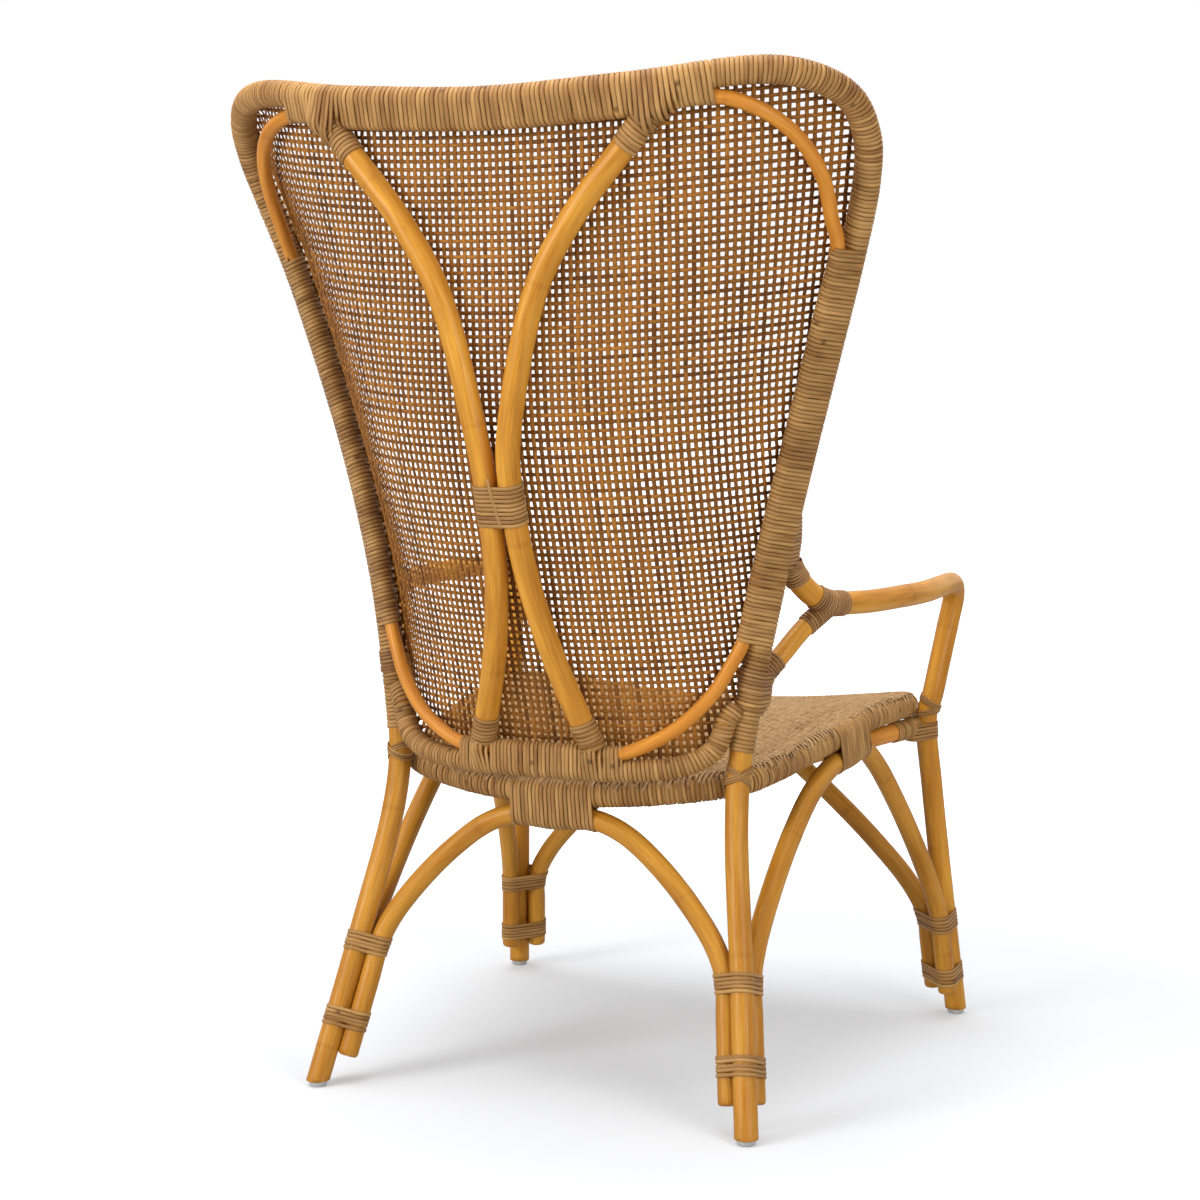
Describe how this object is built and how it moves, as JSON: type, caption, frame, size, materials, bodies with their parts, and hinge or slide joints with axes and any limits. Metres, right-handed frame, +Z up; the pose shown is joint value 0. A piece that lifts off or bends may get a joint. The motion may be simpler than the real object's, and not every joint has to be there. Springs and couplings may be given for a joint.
{
  "type": "rattan peacock chair",
  "caption": "Flared peacock-style armchair of bent rattan poles wrapped in cane, with an open woven wing back, a dished woven seat and arched legs on glides.",
  "frame": {"origin": "on the floor, below the middle of the chair's outer box", "axes": "+Z up, -Y towards the front, where the sitter looks, +X to the sitter's left"},
  "size_m": [0.7874, 0.7554, 1.1618],
  "materials": {
    "rattan": "clear varnish, honey",
    "cane_wrap": "satin flat cane",
    "dark_cane": "satin dark cane",
    "back_cane": "matte open weave",
    "seat_cane": "matte close weave",
    "glide_plastic": "grey translucent plastic"
  },
  "bodies": {
    "root": {"rear_leg_left": "rattan", "rear_leg_right": "rattan", "front_leg_left": "rattan", "front_leg_right": "rattan", "spine_left": "rattan", "spine_right": "rattan", "side_rail_left": "rattan", "side_rail_right": "rattan", "arm_brace_left": "rattan", "arm_brace_right": "rattan", "side_arch_left": "rattan", "side_arch_right": "rattan", "top_rail": "rattan", "inner_hoop": "rattan", "bottom_rail": "rattan", "seat_ring": "rattan", "rear_arch": "rattan", "front_arch": "rattan", "post_wrap_left": "cane_wrap", "post_wrap_right": "cane_wrap", "brace_wrap_left": "cane_wrap", "brace_wrap_right": "cane_wrap", "arm_joint_wrap_left": "cane_wrap", "arm_joint_wrap_right": "cane_wrap", "rear_leg_lash_left": "cane_wrap", "rear_leg_lash_right": "cane_wrap", "front_leg_lash_left": "cane_wrap", "front_leg_lash_right": "cane_wrap", "rail_lash_left": "cane_wrap", "rail_lash_right": "cane_wrap", "side_arch_band_left": "cane_wrap", "side_arch_band_right": "cane_wrap", "rear_leg_binding_low_left": "cane_wrap", "rear_leg_binding_low_right": "cane_wrap", "rear_leg_binding_high_left": "cane_wrap", "rear_leg_binding_high_right": "cane_wrap", "front_leg_binding_low_left": "cane_wrap", "front_leg_binding_low_right": "cane_wrap", "front_leg_binding_high_left": "cane_wrap", "front_leg_binding_high_right": "cane_wrap", "spine_top_wrap_left": "cane_wrap", "spine_top_wrap_right": "cane_wrap", "spine_foot_wrap_left": "cane_wrap", "spine_foot_wrap_right": "cane_wrap", "top_rail_wrap": "cane_wrap", "bottom_rail_wrap": "cane_wrap", "seat_ring_wrap": "cane_wrap", "waist_binding": "cane_wrap", "rear_arch_band": "cane_wrap", "front_arch_band": "cane_wrap", "arm_post_wrap_left": "dark_cane", "arm_post_wrap_right": "dark_cane", "back_web": "back_cane", "seat_deck": "seat_cane", "rear_foot_glide_left": "glide_plastic", "rear_foot_glide_right": "glide_plastic", "front_foot_glide_left": "glide_plastic", "front_foot_glide_right": "glide_plastic"}
  },
  "joints": []
}
